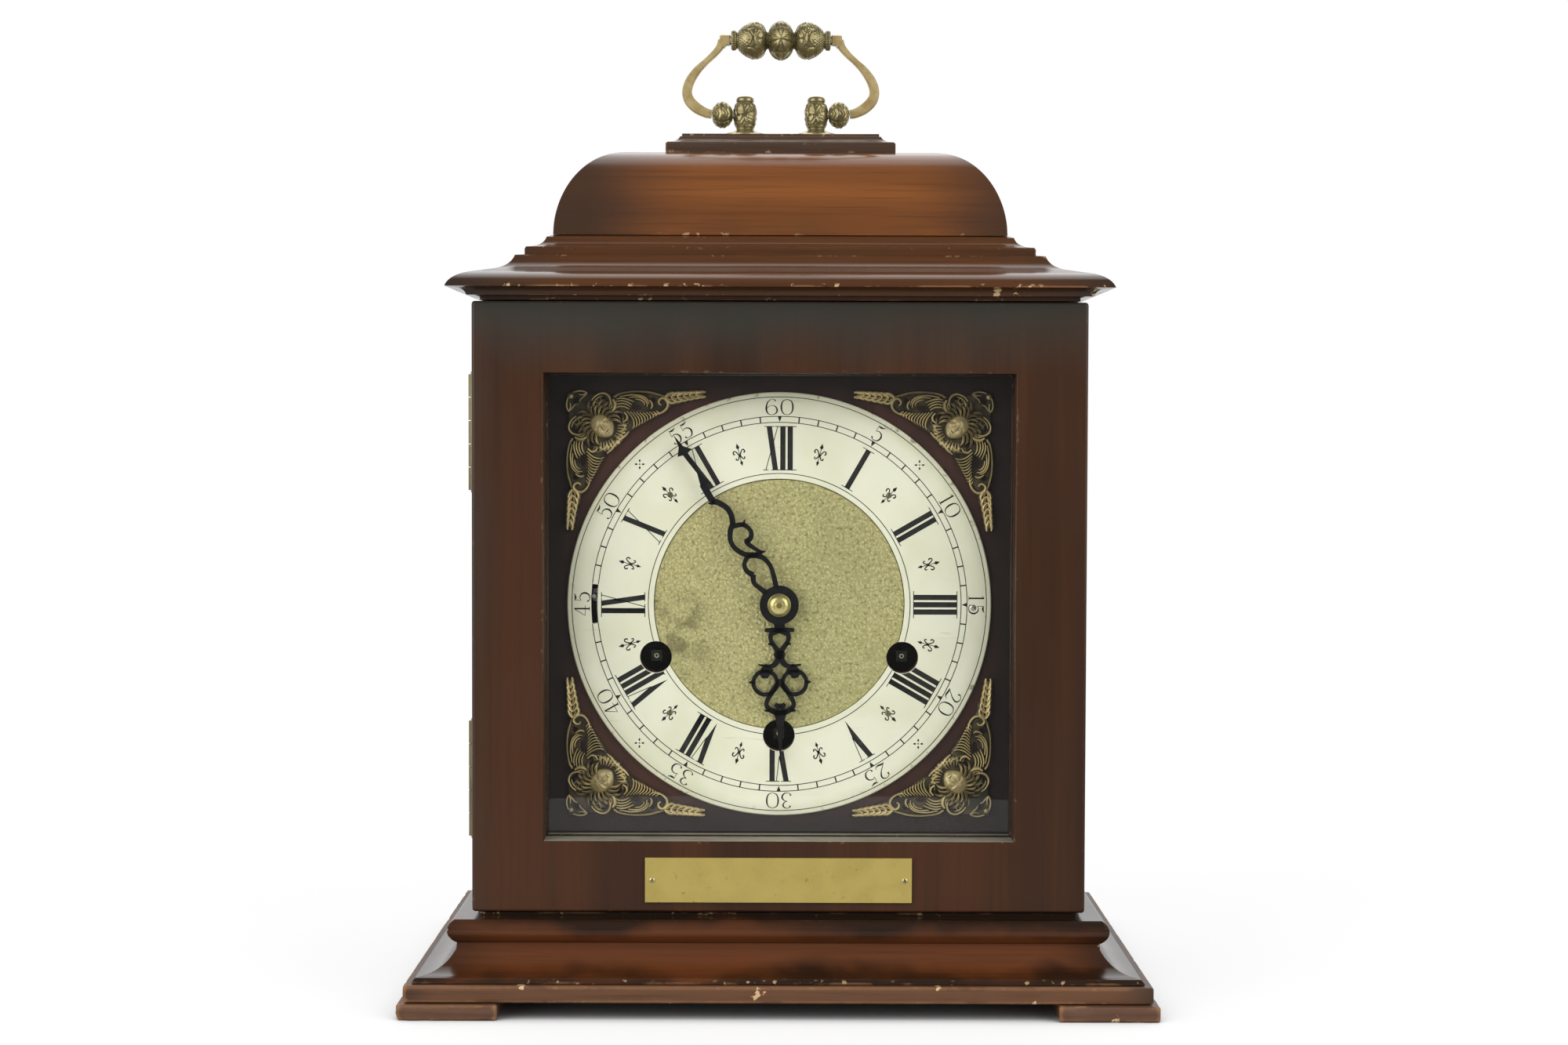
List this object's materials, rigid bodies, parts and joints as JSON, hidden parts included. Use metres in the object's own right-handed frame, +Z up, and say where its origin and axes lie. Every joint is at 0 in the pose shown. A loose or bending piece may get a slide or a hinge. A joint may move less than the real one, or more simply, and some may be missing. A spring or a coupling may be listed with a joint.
{
  "type": "bracket clock",
  "caption": "Moulded wooden bracket clock with a bell top, carrying handle, hinged glazed door, square dial with a chapter ring and a spring-driven chiming movement.",
  "frame": {"origin": "centre of the footprint, on the surface that the feet stand on", "axes": "+Z up, +X to the right seen from the front, the dial faces -Y"},
  "size_m": [0.2852, 0.2054, 0.3868],
  "materials": {
    "lacquered_mahogany": "glossy toned lacquer",
    "dark_wood": "blackened satin lacquer",
    "plain_wood": "plain, unpolished",
    "antique_brass": "antiqued, toned dark in the hollows",
    "brass": "brushed brass",
    "plate_brass": "polished and scratched",
    "silvered_dial": "silvered, satin",
    "gilt_dial": "matted gilt",
    "black_steel": "matt black",
    "steel": "bright steel",
    "glass": "clear, polished"
  },
  "bodies": {
    "case": {"foot_front_left": "lacquered_mahogany", "foot_front_right": "lacquered_mahogany", "foot_rear_left": "lacquered_mahogany", "foot_rear_right": "lacquered_mahogany", "base_board": "lacquered_mahogany", "base_moulding": "lacquered_mahogany", "side_left": "lacquered_mahogany", "side_right": "lacquered_mahogany", "bottom_board": "plain_wood", "top_board": "plain_wood", "cornice_moulding": "lacquered_mahogany", "bell_top": "lacquered_mahogany", "handle_plinth": "dark_wood", "handle_post_left": "antique_brass", "handle_post_right": "antique_brass", "upper_case_leaf": "brass", "lower_case_leaf": "brass", "back_case_leaf": "brass", "dial_board": "dark_wood", "chapter_ring": "silvered_dial", "dial_centre": "gilt_dial", "spandrel_upper_left": "antique_brass", "spandrel_upper_right": "antique_brass", "spandrel_lower_left": "antique_brass", "spandrel_lower_right": "antique_brass", "seat_board": "plain_wood", "front_plate": "brass", "back_plate": "brass", "platform": "brass", "chime_rods": "steel"},
    "front_door": {"door_frame": "lacquered_mahogany", "door_glass": "glass", "glazing_bead": "dark_wood", "presentation_plate": "plate_brass", "upper_door_leaf": "brass", "lower_door_leaf": "brass"},
    "back_door": {"back_door": "lacquered_mahogany", "back_door_knob": "brass", "back_door_leaf": "brass"},
    "handle": {"handle_bail": "antique_brass", "handle_grip": "antique_brass"},
    "minute_arbor": {"centre_wheel": "brass", "cannon_pinion": "brass", "minute_hand": "black_steel", "hand_nut": "brass"},
    "hour_pipe": {"hour_wheel": "brass", "hour_hand": "black_steel"},
    "minute_wheel": {"minute_wheel": "brass"},
    "intermediate_wheel": {"intermediate_wheel": "brass"},
    "third_wheel": {"third_wheel": "brass"},
    "escape_wheel": {"escape_wheel": "brass"},
    "balance": {"balance_wheel": "brass"},
    "going_barrel": {"going_barrel": "brass"},
    "strike_barrel": {"strike_barrel": "brass"},
    "chime_barrel": {"chime_barrel": "brass"},
    "going_winding_arbor": {"going_winding_arbor": "steel"},
    "strike_winding_arbor": {"strike_winding_arbor": "steel"},
    "chime_winding_arbor": {"chime_winding_arbor": "steel"},
    "selector": {"selector_lever": "steel"},
    "hour_hammers": {"hour_hammers": "brass"}
  },
  "joints": [
    {"name": "front_door_hinge", "type": "hinge", "parent": "case", "child": "front_door", "pos_m": [-0.1185, -0.0587, 0.1526], "axis": [0, 0, -1], "range_deg": [0, 115]},
    {"name": "back_door_hinge", "type": "hinge", "parent": "case", "child": "back_door", "pos_m": [-0.1072, 0.0786, 0.1526], "axis": [0, 0, 1], "range_deg": [0, 110]},
    {"name": "handle_swing", "type": "hinge", "parent": "case", "child": "handle", "pos_m": [0, 0, 0.3485], "axis": [1, 0, 0], "range_deg": [-95, 95]},
    {"name": "minute_turn", "type": "hinge", "parent": "case", "child": "minute_arbor", "pos_m": [0, 0, 0.1526], "axis": [0, 1, 0], "continuous": true},
    {"name": "hour_turn", "type": "hinge", "parent": "case", "child": "hour_pipe", "pos_m": [0, 0, 0.1526], "axis": [0, 1, 0], "continuous": true},
    {"name": "minute_wheel_turn", "type": "hinge", "parent": "case", "child": "minute_wheel", "pos_m": [0.01188, 0, 0.16448], "axis": [0, 1, 0], "continuous": true},
    {"name": "intermediate_turn", "type": "hinge", "parent": "case", "child": "intermediate_wheel", "pos_m": [-0.00721, 0, 0.12845], "axis": [0, 1, 0], "continuous": true},
    {"name": "third_turn", "type": "hinge", "parent": "case", "child": "third_wheel", "pos_m": [0, 0, 0.17108], "axis": [0, 1, 0], "continuous": true},
    {"name": "escape_turn", "type": "hinge", "parent": "case", "child": "escape_wheel", "pos_m": [0, 0, 0.18508], "axis": [0, 1, 0], "continuous": true},
    {"name": "balance_swing", "type": "hinge", "parent": "case", "child": "balance", "pos_m": [0, 0, 0.18508], "axis": [0, 1, 0], "range_deg": [-135, 135]},
    {"name": "going_barrel_turn", "type": "hinge", "parent": "case", "child": "going_barrel", "pos_m": [0, 0, 0.1014], "axis": [0, 1, 0], "continuous": true},
    {"name": "strike_barrel_turn", "type": "hinge", "parent": "case", "child": "strike_barrel", "pos_m": [-0.048, 0, 0.1319], "axis": [0, 1, 0], "continuous": true},
    {"name": "chime_barrel_turn", "type": "hinge", "parent": "case", "child": "chime_barrel", "pos_m": [0.048, 0, 0.1319], "axis": [0, 1, 0], "continuous": true},
    {"name": "going_winding", "type": "hinge", "parent": "case", "child": "going_winding_arbor", "pos_m": [0, 0, 0.1014], "axis": [0, 1, 0], "range_deg": [0, 2340]},
    {"name": "strike_winding", "type": "hinge", "parent": "case", "child": "strike_winding_arbor", "pos_m": [-0.048, 0, 0.1319], "axis": [0, 1, 0], "range_deg": [0, 2340]},
    {"name": "chime_winding", "type": "hinge", "parent": "case", "child": "chime_winding_arbor", "pos_m": [0.048, 0, 0.1319], "axis": [0, 1, 0], "range_deg": [0, 2340]},
    {"name": "selector_slide", "type": "hinge", "parent": "case", "child": "selector", "pos_m": [0, 0, 0.1526], "axis": [0, 1, 0], "range_deg": [-7, 2.2]},
    {"name": "hammer_lift", "type": "hinge", "parent": "case", "child": "hour_hammers", "pos_m": [0.05, 0, 0.084], "axis": [0, -1, 0], "range_deg": [0, 12]}
  ],
  "couplings": [
    {"joint": "hour_turn", "follows": "minute_turn", "ratio": 0.083333},
    {"joint": "minute_wheel_turn", "follows": "minute_turn", "ratio": -0.33333},
    {"joint": "intermediate_turn", "follows": "minute_turn", "ratio": -0.2},
    {"joint": "going_barrel_turn", "follows": "minute_turn", "ratio": 0.033333},
    {"joint": "third_turn", "follows": "minute_turn", "ratio": -6},
    {"joint": "escape_turn", "follows": "minute_turn", "ratio": 36}
  ]
}
